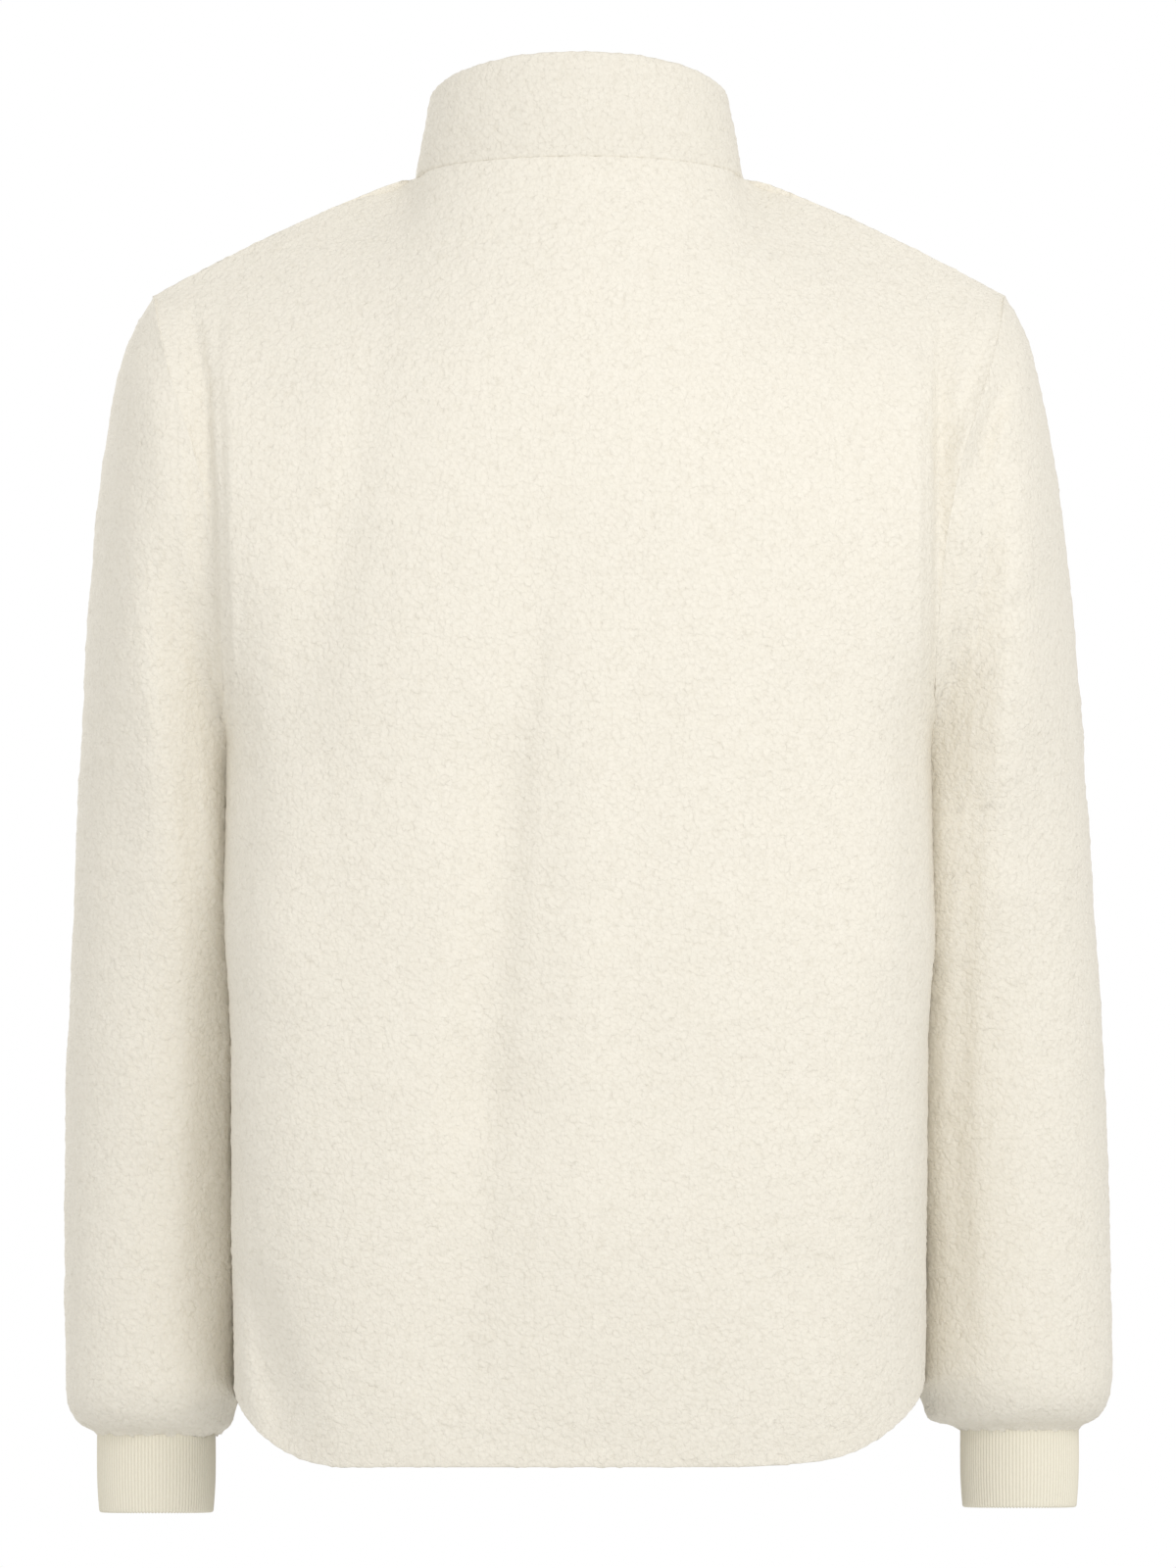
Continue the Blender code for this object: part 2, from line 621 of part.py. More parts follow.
def make_slider(frame, into, cutters):
    """Two plates round the chain, the wedge between them and the bridge that carries the pull."""
    _, plate_t, plate_h = SLIDER_PLATE
    tunnel_h, tunnel_d = BRIDGE_TUNNEL
    post_w, post_h = SLIDER_POST
    plate_front = COLLAR_WALL - CHAIN_FORWARD - plate_t
    back_front = COLLAR_WALL + SEAM_GAP + TAPE_THICK + SEAM_GAP
    back_end = back_front + SLIDER_BACK[1]
    crown_front = -PULL_LIFT - tunnel_d / 2 - BRIDGE_WALL
    leg_deep = plate_front + plate_t / 2 - crown_front
    leg = (BRIDGE_WIDTH, leg_deep, BRIDGE_WALL)
    leg_y = crown_front + leg_deep / 2
    leg_z = (tunnel_h + BRIDGE_WALL) / 2
    crown = (BRIDGE_WIDTH, BRIDGE_WALL, tunnel_h + 2 * BRIDGE_WALL)
    post = (post_w, back_end - plate_front - 2 * BEVEL, post_h)
    post_z = (plate_h - post_h) / 2 - BEVEL
    parts = {
        "back_plate": box(SLIDER_BACK, (0, (back_front + back_end) / 2, 0)),
        "post": box(post, (0, (plate_front + back_end) / 2, post_z)),
        "leg_low": box(leg, (0, leg_y, -leg_z)),
        "leg_high": box(leg, (0, leg_y, leg_z)),
        "crown": box(crown, (0, crown_front + BRIDGE_WALL / 2, 0)),
    }
    front_plate = box(SLIDER_PLATE, (0, plate_front + plate_t / 2, 0))
    slider = add_object("zip_slider", front_plate, "zip_metal", into)
    others = [add_object(name, bm, "zip_metal", cutters) for name, bm in parts.items()]
    merge(slider, others)
    for obj in (slider, *others):
        obj.matrix_world = frame


def make_pull(frame, into, cutters):
    """A flat tab with a window for the bridge and a round bar that turns in it."""
    width, thick, window = PULL["width"], PULL["thick"], PULL["window"]
    tab_h = PULL["length"] - window
    tab = box((width, thick, tab_h), (0, 0, -window - tab_h / 2))
    pull = add_object("zip_pull", tab, "zip_metal", into)
    bar = bmesh.new()
    bmesh.ops.create_cone(
        bar,
        cap_ends=True,
        segments=BAR_SIDES,
        radius1=BAR_RADIUS,
        radius2=BAR_RADIUS,
        depth=width - 2 * BAR_INSET,
        matrix=Matrix.Rotation(math.pi / 2, 4, "Y"),
    )
    others = [add_object("bar", bar, "zip_metal", cutters)]
    arm_top, arm_low = PULL["above"], -window - PULL["into"]
    arm_x = (width - PULL["arm"]) / 2
    for name, x in (("arm_left", arm_x), ("arm_right", -arm_x)):
        arm = box((PULL["arm"], thick, arm_top - arm_low), (x, 0, (arm_top + arm_low) / 2))
        others.append(add_object(name, arm, "zip_metal", cutters))
    merge(pull, others)
    axis = frame @ Matrix.Translation((0, -PULL_LIFT, 0))
    for obj in (pull, *others):
        obj.matrix_world = axis


def main():
    clear_scene()
    jacket, cutters = collection("sherpa_jacket"), collection("cutters")
    skins = folded(cloth_skins())
    normals = shared_normals(skins)
    make_cloth(skins, normals, jacket)
    edge, beside, facing, facing_beside, thick = zip_rows(skins, normals)
    make_tapes(edge, beside, facing, facing_beside, thick, jacket)
    frame = slider_frame(edge)
    chain_end = (np.array(frame.translation), -np.array(frame.col[1].xyz))
    make_chain(edge, facing, thick, chain_end, jacket)
    make_slider(frame, jacket, cutters)
    make_pull(frame, jacket, cutters)


main()
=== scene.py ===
"""The looks of a cream sherpa fleece jacket, worn and hollow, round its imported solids.

Every piece of cloth is drawn again from its solid's own rows and columns as a smooth wall, fine enough
outside to carry the clumped pile. The zip gets its single teeth, a slider with an arched bridge and a
shaped tab. Metres, +Z up, the back faces +Y and the wearer's left is +X.
"""

import math

import bmesh
import bpy
import numpy as np
from mathutils import Matrix, Vector, noise


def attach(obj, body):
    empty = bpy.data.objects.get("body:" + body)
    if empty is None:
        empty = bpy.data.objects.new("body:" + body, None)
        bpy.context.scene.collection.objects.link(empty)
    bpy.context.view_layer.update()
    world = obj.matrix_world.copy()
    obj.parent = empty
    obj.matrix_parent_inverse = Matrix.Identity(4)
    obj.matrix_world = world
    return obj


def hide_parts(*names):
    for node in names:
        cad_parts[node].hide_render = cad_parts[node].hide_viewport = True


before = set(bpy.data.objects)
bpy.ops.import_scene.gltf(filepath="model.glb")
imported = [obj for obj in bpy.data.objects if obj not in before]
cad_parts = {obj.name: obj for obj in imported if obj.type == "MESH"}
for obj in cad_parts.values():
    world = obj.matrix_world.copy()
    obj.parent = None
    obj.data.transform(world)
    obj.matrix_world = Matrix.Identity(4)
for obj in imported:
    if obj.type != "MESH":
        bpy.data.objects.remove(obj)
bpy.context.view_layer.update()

WELD = 1e-5
THICKNESS_SLACK = 2e-5  # how far an edge across a wall may be from the wall's thickness
GRID_GRIP = 1.3  # how firmly triangles are joined into a regular grid

FLEECE_WALL = 0.004
COLLAR_WALL = 0.006
RIB_WALL = 0.003
TAPE_WALL = 0.0008
CHAIN_WALL = 0.0026

FLEECE_CELL = 0.0025
FLEECE_RATIO = 3  # outer cells to one inner cell, each way
FLEECE_REACH = 0.0007  # how far fleece goes past its solid's rim, so that seams close
FLEECE_ROUND = 0.0020
RIM_STEPS = 2

# How the cloth lies: loose between its seams, and round the body and the sleeves
RIM_HOLD = 0.012  # how far in from a seam the cloth lies as sewn
SEAM_HOLD = 0.004  # the same where a piece leans or swells
LOOSE = 0.0011
LOOSE_SIZE = 0.05  # across one broad wave of loose cloth
LEVEL_SIZE = (0.035, 0.035, 0.013)  # across one of the flatter waves, which lie level
LEVEL_SHARE = 0.35  # how strong they are beside the broad ones
LEVEL_SHIFT = Vector((9, 4, 7))
UNDERARM_Z = -0.330
# (z, x) of the body's side, from the hem up
BODY_EDGE = ((-0.75, 0.1975), (-0.33, 0.2015), (-0.23, 0.2085), (-0.15, 0.2265), (-0.08, 0.2440))
LEAN = 0.0048  # how far a sleeve leans towards the body where they nearly touch
LEAN_REACH = 0.030  # how far from the body's edge that ends
# How far a sleeve's back tucks in beside the body at its low end, and how wide.
TUCK = {"sleeve_left": (0.015, 0.028), "sleeve_right": (0.008, 0.018)}
TUCK_GROWS = (-0.400, -0.650)  # from which level down to which
TUCK_START = (0.45, 0.6)  # the shares of that depth and width above them
SWELL = 0.004  # how far the body fills out below the underarm
HEM_TURN = 0.006  # how much higher the hem ends at the right side
HEM_CURL = 0.009  # how far the back's hem curls in

# Folds: each starts narrow and widens, and rises from low ends
FOLD_FADE = 0.025  # how far past its level a fold takes to reach its full height
FOLD_NARROW = 0.75
FOLD_WIDENS = 0.5
FOLD_END = 0.06
FOLD_BLUNT = 0.7
BACK, FRONT = 1, -1  # which way a fold's cloth faces in y

# Pile
CLUMP = 0.0044  # across one clump
CLUMP_HEIGHT = 0.0009
CLUMP_STEEP = 1.2
CLUMP_PUSH = 0.6  # how far the clumps are pushed about, in clumps
PUSH_SIZE = 1.7  # across one such push, in clumps
HANG = 0.0026  # how far the clumps at a sleeve's end hang over its cuff
HANG_REACH = 0.005
PILE_SEED = 4  # gives the clumps the same places each run

RIBS = 106
RIB_CELLS = 6  # columns to each rib
RIB_DEPTH = 0.0005
RIB_ROUND = 0.0011
CUFF_ROWS = 18
TAPE_CELL = 0.0022
TAPE_ROUND = 0.0002

TOOTH = (0.0040, 0.0024, 0.0013)
TOOTH_SIDE = 0.0009  # how far the teeth of each row stand to their own side
TOOTH_PITCH = 0.00155
TOOTH_STEP = 0.001  # how far off the chain's own directions are taken

# The slider's own X across the zip, Y into the jacket and Z up the zip, with y = 0 at the collar's face.
SLIDER_FRAME = Matrix(
    ((1, 0, 0, 0), (0, 0.98917, 0.1468, -0.09043), (0, -0.1468, 0.98917, -0.0125), (0, 0, 0, 1))
)
SLIDER_FRONT = (0.0032, 0.0014)  # the middle of the plate's thickness, and the thickness
SLIDER_BACK = (0.0080, 0.0012)
BRIDGE_WIDTH = 0.0032
BRIDGE_CENTRE = -0.0017  # where the arch's round part is centred in y
PULL_LIFT = 0.0020  # how far in front of the collar's face the pull turns

# Each piece of fleece: its name, its solid's wall, and the width, length and area of its flat cut.
FLEECE_PIECES = {
    "back": ("back_panel", FLEECE_WALL, (0.58, 0.76), 0.383),
    "front_left": ("left_front", FLEECE_WALL, (0.29, 0.75), 0.182),
    "front_right": ("right_front", FLEECE_WALL, (0.29, 0.75), 0.182),
    "sleeve_left": ("left_sleeve", FLEECE_WALL, (0.42, 0.65), 0.202),
    "sleeve_right": ("right_sleeve", FLEECE_WALL, (0.42, 0.65), 0.206),
    "collar": ("stand_collar", COLLAR_WALL, (0.46, 0.08), 0.032),
}

# painted shade in the crevices, the fleece's colour on the clumps, and where they are brushed even
SHERPA_COLOURS_AND_PAINTED_SHADE = ((0.74, 0.69, 0.585), (0.86, 0.82, 0.73), (0.83, 0.785, 0.69))
# The collar's fleece is coloured darker by this share: painted shade, as the collar turns from the
# light.
COLLAR_PAINTED_SHADE = 0.96

CAMERA_DISTANCE = 20.0
SEEN_HEIGHT = 0.898
AIM = Vector((-0.005, -0.01, -0.3584))
SENSOR = 36.0
FLOOR_Z = -1.05
FLOOR_RADIUS = 2.2
# name, place, size in metres, power in watts
LIGHTS = (
    ("back_key", (-0.75, 2.2, 0.35), 1.1, 16.5),
    ("front_key", (0.75, -2.2, 0.35), 1.1, 16.5),
)
WORLD_LIGHT = 0.92


# ---- shader maths ----


class Value:
    """A shader socket in an expression: each operator adds its Math node."""

    def __init__(self, finish, socket):
        self.finish = finish
        self.socket = socket

    def maths(self, operation, *values):
        return self.finish.node("ShaderNodeMath", {"operation": operation}, dict(enumerate(values)))

    def __add__(self, other):
        return self.maths("ADD", self, other)

    def __sub__(self, other):
        return self.maths("SUBTRACT", self, other)

    def __rsub__(self, other):
        return self.maths("SUBTRACT", other, self)

    def __mul__(self, other):
        return self.maths("MULTIPLY", self, other)

    def __truediv__(self, other):
        return self.maths("DIVIDE", self, other)

    def clamped(self):
        return self.maths("MINIMUM", self.maths("MAXIMUM", self, 0.0), 1.0)

    __radd__ = __add__
    __rmul__ = __mul__


class Finish:
    """A material under way, with its Principled shader."""

    def __init__(self, name, **sockets):
        self.material = bpy.data.materials.new(name)
        self.material.use_nodes = True
        self.tree = self.material.node_tree
        self.shader = self.tree.nodes["Principled BSDF"]
        for socket, value in sockets.items():
            self.set(socket.replace("_", " ").title(), value)

    def put(self, socket, value):
        if isinstance(value, Value):
            self.tree.links.new(value.socket, socket)
        else:
            socket.default_value = value

    def set(self, name, value):
        self.put(self.shader.inputs[name], value)

    def node(self, kind, settings=None, inputs=None, output=0):
        made = self.tree.nodes.new(kind)
        for name, value in (settings or {}).items():
            setattr(made, name, value)
        for name, value in (inputs or {}).items():
            self.put(made.inputs[name], value)
        return Value(self, made.outputs[output])

    def mix(self, mask, low, high):
        """From one colour to another as the mask goes from 0 to 1."""
        return self.node("ShaderNodeMix", {"data_type": "RGBA"}, {0: mask, 6: low, 7: high}, output=2)

    def place(self):
        return self.node("ShaderNodeTexCoord", output="Object")

    def uv(self):
        return self.node("ShaderNodeTexCoord", output="UV")

    def attribute(self, name):
        return self.node("ShaderNodeAttribute", {"attribute_name": name}, output="Fac")

    def noise(self, where, size, detail=2.0, rough=0.5):
        """Soft noise from 0 to 1 whose blobs are about this size."""
        inputs = {"Vector": where, "Scale": 1 / size, "Detail": detail, "Roughness": rough}
        return self.node("ShaderNodeTexNoise", None, inputs)

    def cells(self, where, size):
        """Distance to the nearest of points about this far apart, in cells."""
        return self.node("ShaderNodeTexVoronoi", None, {"Vector": where, "Scale": 1 / size})

    def vector_maths(self, operation, inputs, output="Vector"):
        return self.node("ShaderNodeVectorMath", {"operation": operation}, inputs, output)

    def shifted(self, where, amount, size):
        """The place pushed about by noise, so that a pattern loses its straight lines."""
        inputs = {"Vector": where, "Scale": 1 / size, "Detail": 1.0}
        push = self.node("ShaderNodeTexNoise", None, inputs, output="Color")
        push = self.vector_maths("SUBTRACT", {0: push, 1: (0.5, 0.5, 0.5)})
        push = self.vector_maths("SCALE", {0: push, "Scale": amount})
        return self.vector_maths("ADD", {0: where, 1: push})

    def stretched(self, where, shares):
        return self.vector_maths("MULTIPLY", {0: where, 1: shares})

    def bump(self, height, depth, strength=1.0):
        inputs = {"Height": height, "Distance": depth, "Strength": strength}
        self.set("Normal", self.node("ShaderNodeBump", None, inputs))


# ---- finishes ----


# The shade share darkens all its colours: painted shade, for the collar's copy of the fleece.
def sherpa(name, painted_shade=1.0):
    finish = Finish(name, roughness=0.95, sheen_weight=0.06, sheen_roughness=0.5)
    low, high, even = ([painted_shade * part for part in colour] + [1] for colour in SHERPA_COLOURS_AND_PAINTED_SHADE)
    where = finish.shifted(finish.place(), 0.0030, 0.0026)
    gap = finish.cells(where, 0.0026)
    tufts = 1 - gap * gap * 1.2
    strands = finish.noise(finish.stretched(where, (1, 1, 0.45)), 0.0008, 3.0, 0.65)
    patches = finish.noise(finish.place(), 0.012, 3.0, 0.6)
    drift = finish.noise(finish.place(), 0.08, 2.0)
    crest = finish.attribute("pile")
    # The mask darkens the colour in the crevices between tufts and where the pile is low: painted shade.
    # The strands and patches are the fleece's own uneven tone.
    lit = (0.35 * tufts + 0.35 * strands + 0.2 * crest + 0.3 * patches).clamped()
    finish.set("Base Color", finish.mix(drift * 0.3, finish.mix(lit, low, high), even))
    finish.bump(tufts * 0.6 + strands * 0.5, 0.0010, 0.8)
    return finish.material


def knit_back():
    """The smooth side of the fleece, which shows inside."""
    finish = Finish("knit_back", roughness=0.9, sheen_weight=0.1)
    bands = {"wave_type": "BANDS", "bands_direction": "X"}
    thread = finish.node("ShaderNodeTexWave", bands, {"Vector": finish.uv(), "Scale": 1.0})
    fuzz = finish.noise(finish.place(), 0.002)
    lit = (thread * 0.5 + fuzz * 0.5).clamped()
    finish.set("Base Color", finish.mix(lit, (0.62, 0.57, 0.46, 1), (0.76, 0.71, 0.60, 1)))
    finish.bump(lit, 0.0003, 0.4)
    return finish.material


def rib_knit():
    finish = Finish("rib_knit", roughness=0.85, sheen_weight=0.1)
    fuzz = finish.noise(finish.place(), 0.0012, 3.0)
    crest = finish.attribute("pile")
    # The colour darkens in the grooves between the ribs: painted shade. The fuzz is the yarn's own
    # uneven tone.
    lit = (crest * 0.7 + fuzz * 0.4).clamped()
    finish.set("Base Color", finish.mix(lit, (0.70, 0.655, 0.53, 1), (0.87, 0.83, 0.71, 1)))
    finish.bump(fuzz, 0.0003, 0.4)
    return finish.material


def zip_cloth():
    finish = Finish("zip_cloth", roughness=0.75)
    bands = {"bands_direction": "DIAGONAL"}
    weave = finish.node("ShaderNodeTexWave", bands, {"Vector": finish.uv(), "Scale": 1.0})
    finish.set("Base Color", finish.mix(weave, (0.62, 0.57, 0.46, 1), (0.74, 0.69, 0.58, 1)))
    finish.bump(weave, 0.0002, 0.5)
    return finish.material


def tooth_plastic():
    finish = Finish("tooth_plastic", roughness=0.38, coat_weight=0.1)
    worn = finish.noise(finish.place(), 0.004)
    finish.set("Base Color", finish.mix(worn, (0.74, 0.69, 0.58, 1), (0.80, 0.76, 0.66, 1)))
    return finish.material


def satin_nickel():
    finish = Finish("satin_nickel", metallic=1.0)
    brushed = finish.noise(finish.place(), 0.0006, 4.0)
    finish.set("Base Color", finish.mix(brushed, (0.40, 0.39, 0.37, 1), (0.52, 0.51, 0.48, 1)))
    finish.set("Roughness", 0.32 + brushed * 0.15)
    finish.bump(brushed, 0.00003, 0.3)
    return finish.material


def studio_floor():
    """Pale, and fading out before its edge."""
    finish = Finish("floor_white", roughness=0.8)
    finish.set("Base Color", (0.72, 0.72, 0.71, 1))
    away = finish.vector_maths("LENGTH", {0: finish.place()}, output="Value")
    finish.set("Alpha", (1.9 - away / FLOOR_RADIUS * 2).clamped())
    return finish.material


# ---- the rows and columns of a packed wall ----


def quad_mesh(node, thickness):
    """The node's mesh as one surface of quads. The strip across the wall's end pairs off by itself."""
    bm = bmesh.new()
    bm.from_mesh(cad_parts[node].data)
    bmesh.ops.remove_doubles(bm, verts=bm.verts[:], dist=WELD)
    across = {edge for edge in bm.edges if abs(edge.calc_length() - thickness) < THICKNESS_SLACK}
    strip = {face for edge in across for face in edge.link_faces}
    for edge in bm.edges:
        edge.smooth = edge not in across and len(strip.intersection(edge.link_faces)) != 1
    for _ in range(2):
        bmesh.ops.join_triangles(
            bm,
            faces=[face for face in bm.faces if len(face.verts) == 3],
            cmp_sharp=True,
            angle_face_threshold=math.pi,
            angle_shape_threshold=math.pi,
            topology_influence=GRID_GRIP,
        )
    if any(len(face.verts) != 4 for face in bm.faces):
        raise ValueError(f"{node} isn't a grid of quads")
    return bm


def opposite(face, edge):
    """For each end of the edge, the corner beside it on the far side of the quad."""
    loop = next(loop for loop in face.loops if loop.edge == edge)
    far = loop.link_loop_next.link_loop_next
    return {loop.vert: loop.link_loop_prev.vert, loop.link_loop_next.vert: far.vert}


def rim_run(start, after, rim_edges, corners):
    """Vertices along a rim from the start to the next corner, or round to the start again."""
    run = [start, after]
    while run[-1] not in corners and run[-1] != start:
        here = run[-1]
        following = [edge.other_vert(here) for edge in here.link_edges if edge in rim_edges]
        run.append(next(vert for vert in following if vert != run[-2]))
    return run


def skin_rows(bm, first, skin):
    """The skin's vertices in rows, from a first row on its rim."""
    rows, used = [first], set()
    while True:
        row = {}
        for a, b in zip(rows[-1], rows[-1][1:]):
            edge = bm.edges.get((a, b))
            faces = [face for face in edge.link_faces if face in skin and face not in used]
            if not faces:
                return np.array([[vert.co for vert in line] for line in rows])
            used.add(faces[0])
            row.update(opposite(faces[0], edge))
        rows.append([row[vert] for vert in rows[-1]])


def larger_side(skin, rim_edges):
    """The vertices of the larger of the two skins."""
    left, sides = set(skin), []
    while left:
        reached, area, verts = [left.pop()], 0.0, set()
        while reached:
            face = reached.pop()
            area += face.calc_area()
            verts.update(face.verts)
            inner = [edge for edge in face.edges if edge not in rim_edges]
            near = {other for edge in inner for other in edge.link_faces} & left
            left -= near
            reached.extend(near)
        sides.append((area, verts))
    return max(sides, key=lambda side: side[0])[1]


def skins(node, thickness):
    """A wall's outer and inner skin as rows of points from low to high, in an order that faces out."""
    bm = quad_mesh(node, thickness)
    through = [edge for edge in bm.edges if abs(edge.calc_length() - thickness) < THICKNESS_SLACK]
    partner = {}
    for edge in through:
        a, b = edge.verts
        partner[a], partner[b] = b, a
    rim_faces = {face for edge in through for face in edge.link_faces}
    skin = set(bm.faces) - rim_faces
    rim_edges = {edge for face in rim_faces for edge in face.edges} - set(through)
    corners = {vert for vert in partner if len(vert.link_edges) == 3}
    outside = larger_side(skin, rim_edges)
    ends = [vert for vert in (corners or partner) if vert in outside]
    start = min(ends, key=lambda vert: (round(vert.co.z, 4), abs(vert.co.x)))
    runs = [
        rim_run(start, edge.other_vert(start), rim_edges, corners)
        for edge in start.link_edges
        if edge in rim_edges
    ]
    first = min(runs, key=lambda run: round(run[-1].co.z, 4))
    outer = skin_rows(bm, first, skin)
    inner = skin_rows(bm, [partner[vert] for vert in first], skin)
    bm.free()
    facing = np.cross(outer[0, 1] - outer[0, 0], outer[1, 0] - outer[0, 0])
    if facing @ (outer[0, 0] - inner[0, 0]) < 0:
        outer, inner = outer[:, ::-1], inner[:, ::-1]
    return outer, inner


# ---- smooth walls ----


def basis(t):
    """Shares of four neighbours in a smooth curve, t of the way from the second to the third."""
    return np.stack([(1 - t) ** 3, 3 * t**3 - 6 * t**2 + 4, -3 * t**3 + 3 * t**2 + 3 * t + 1, t**3]) / 6


class Wall:
    """A packed wall as two smooth skins, asked in metres up from its low rim and along its rows."""

    def __init__(self, node, thickness):
        self.grids = skins(node, thickness)
        outer = self.grids[0]
        self.closed = np.allclose(outer[:, 0], outer[:, -1])
        self.runs = [self.run(outer, axis) for axis in (0, 1)]
        self.size = [run[-2] for run in self.runs]
        # The curve through such points stays a little inside them, which this makes up for.
        rows, columns = (np.arange(count, dtype=float) for count in outer.shape[:2])
        where = [side.ravel() for side in np.meshgrid(rows, columns, indexing="ij")]
        self.grids = [2 * grid - self.smooth(grid, *where).reshape(grid.shape) for grid in self.grids]

    @staticmethod
    def run(grid, axis):
        """How far along the skin each row or column lies, with one more beyond each end."""
        lengths = np.linalg.norm(np.diff(grid, axis=axis), axis=2).mean(axis=1 - axis)
        run = np.r_[0, np.cumsum(lengths)]
        return np.r_[-lengths[0], run, run[-1] + lengths[-1]]

    def smooth(self, grid, rows, columns):
        """Points of the smooth skin over the grid, at fractional rows and columns."""
        grid = np.concatenate([2 * grid[:1] - grid[1:2], grid, 2 * grid[-1:] - grid[-2:-1]])
        before, after = 2 * grid[:, :1] - grid[:, 1:2], 2 * grid[:, -1:] - grid[:, -2:-1]
        if self.closed:
            before, after = grid[:, -2:-1], grid[:, 1:2]
        grid = np.concatenate([before, grid, after], axis=1)
        low_row = np.clip(rows.astype(int), 0, grid.shape[0] - 4)
        low_column = np.clip(columns.astype(int), 0, grid.shape[1] - 4)
        row_share, column_share = basis(rows - low_row), basis(columns - low_column)
        return sum(
            (row_share[i] * column_share[j])[:, None] * grid[low_row + i, low_column + j]
            for i in range(4)
            for j in range(4)
        )

    def points(self, up, along, inside):
        rows, columns = (
            np.interp(at, run, np.arange(-1, len(run) - 1)) for at, run in zip((up, along), self.runs)
        )
        outer, inner = (self.smooth(grid, rows, columns) for grid in self.grids)
        return np.where(inside[:, None], inner, outer)


def layer(bm, name):
    return np.array([vert[bm.verts.layers.float[name]] for vert in bm.verts])


def places(bm):
    return np.array([vert.co for vert in bm.verts]), np.array([vert.normal for vert in bm.verts])


def move(bm, points):
    for vert, point in zip(bm.verts, points):
        vert.co = point
    bm.normal_update()


def is_rim(edge, behind):
    """Whether the edge lies between a skin and the strip across the wall's end."""
    if len({round(vert[behind]) for vert in edge.verts}) > 1:
        return False
    sides = [len({round(vert[behind]) for vert in face.verts}) for face in edge.link_faces]
    return sorted(sides) == [1, 2]


def cloth(wall, cells, rounding, ratio=1, reach=0.0, loose=False):
    """A closed wall of cloth. cells are the inner skin's rows and columns, and the outer skin has more
    of them by the ratio. The rims go past the solid's by the reach."""
    rows, columns = cells
    (height, width), ends = wall.size, (reach, 0 if wall.closed else reach)
    bm = bmesh.new()
    bmesh.ops.create_grid(bm, x_segments=columns, y_segments=rows, size=1)
    up_at, along_at, behind = (bm.verts.layers.float.new(name) for name in ("up", "along", "behind"))
    for vert in bm.verts:
        vert[up_at] = (vert.co.y + 1) / 2 * (height + 2 * ends[0]) - ends[0]
        vert[along_at] = (vert.co.x + 1) / 2 * (width + 2 * ends[1]) - ends[1]
    for part in bmesh.ops.extrude_face_region(bm, geom=bm.faces[:])["geom"]:
        if isinstance(part, bmesh.types.BMVert):
            part[behind] = 1.0
            part.co.z -= 1
    if ratio > 1:
        front = [edge for edge in bm.edges if not any(vert[behind] for vert in edge.verts)]
        bmesh.ops.subdivide_edges(bm, edges=front, cuts=ratio - 1, use_grid_fill=True)
    uv = bm.loops.layers.uv.new("UVMap")
    for face in bm.faces:
        for loop in face.loops:
            loop[uv].uv = (loop.vert[along_at], loop.vert[up_at])
    if wall.closed:
        face_columns = {face: {round(vert[along_at], 7) for vert in face.verts} for face in bm.faces}
        joint = [face for face, found in face_columns.items() if len(found) == 1]
        bmesh.ops.delete(bm, geom=joint, context="FACES")
    up, along, inside = layer(bm, "up"), layer(bm, "along"), layer(bm, "behind") > 0.5
    move(bm, wall.points(up, along, inside))
    bmesh.ops.remove_doubles(bm, verts=bm.verts[:], dist=1e-6)
    bm.normal_update()
    if loose:
        loosen(bm, wall)
    for face in bm.faces:
        face.material_index = int(all(vert[behind] > 0.5 for vert in face.verts))
        face.smooth = True
    rims = [edge for edge in bm.edges if len(edge.link_faces) == 2 and is_rim(edge, behind)]
    bmesh.ops.bevel(
        bm,
        geom=rims,
        offset=rounding,
        affect="EDGES",
        segments=RIM_STEPS,
        profile=0.5,
        material=-1,
        clamp_overlap=True,
    )
    bm.normal_update()
    return bm


def ramp(value, start, end):
    """From 0 at the start to 1 at the end and past it, without a corner."""
    share = np.clip((value - start) / (end - start), 0, 1)
    return share * share * (3 - 2 * share)


class Fold:
    """A soft ridge (or, with a negative height, a trough) along a line of (x, z) points. It lies on the
    cloth that is past its level in y, as it faces. Its half width may be one towards -X and another
    towards +X."""

    def __init__(self, facing, level, height, half_width, *line):
        self.facing = facing
        self.level = level
        self.height = height
        self.half_widths = half_width if isinstance(half_width, tuple) else (half_width, half_width)
        self.line = np.array(line)

    def lift(self, points):
        """How far the fold moves each point along y."""
        legs = np.linalg.norm(np.diff(self.line, axis=0), axis=1)
        past = np.r_[0, np.cumsum(legs)]
        best, share, width = np.full(len(points), np.inf), np.zeros(len(points)), np.zeros(len(points))
        for start, end, leg, before in zip(self.line, self.line[1:], legs, past):
            away = points[:, [0, 2]] - start
            along = np.clip(away @ (end - start) / leg**2, 0, 1)
            offset = away - along[:, None] * (end - start)
            gap = np.linalg.norm(offset, axis=1)
            nearer = gap < best
            share[nearer] = ((before + along * leg) / past[-1])[nearer]
            width[nearer] = np.where(offset[:, 0] < 0, *self.half_widths)[nearer]
            best = np.minimum(best, gap)
        across = np.clip(best / (width * (FOLD_NARROW + FOLD_WIDENS * share)), 0, 1)
        rise = np.sin(np.pi * (FOLD_END + (1 - 2 * FOLD_END) * share)) ** FOLD_BLUNT
        profile = 0.5 * (1 + np.cos(np.pi * across)) * rise
        side = np.clip(self.facing * (points[:, 1] - self.level) / FOLD_FADE, 0, 1)
        return self.facing * self.height * profile * side


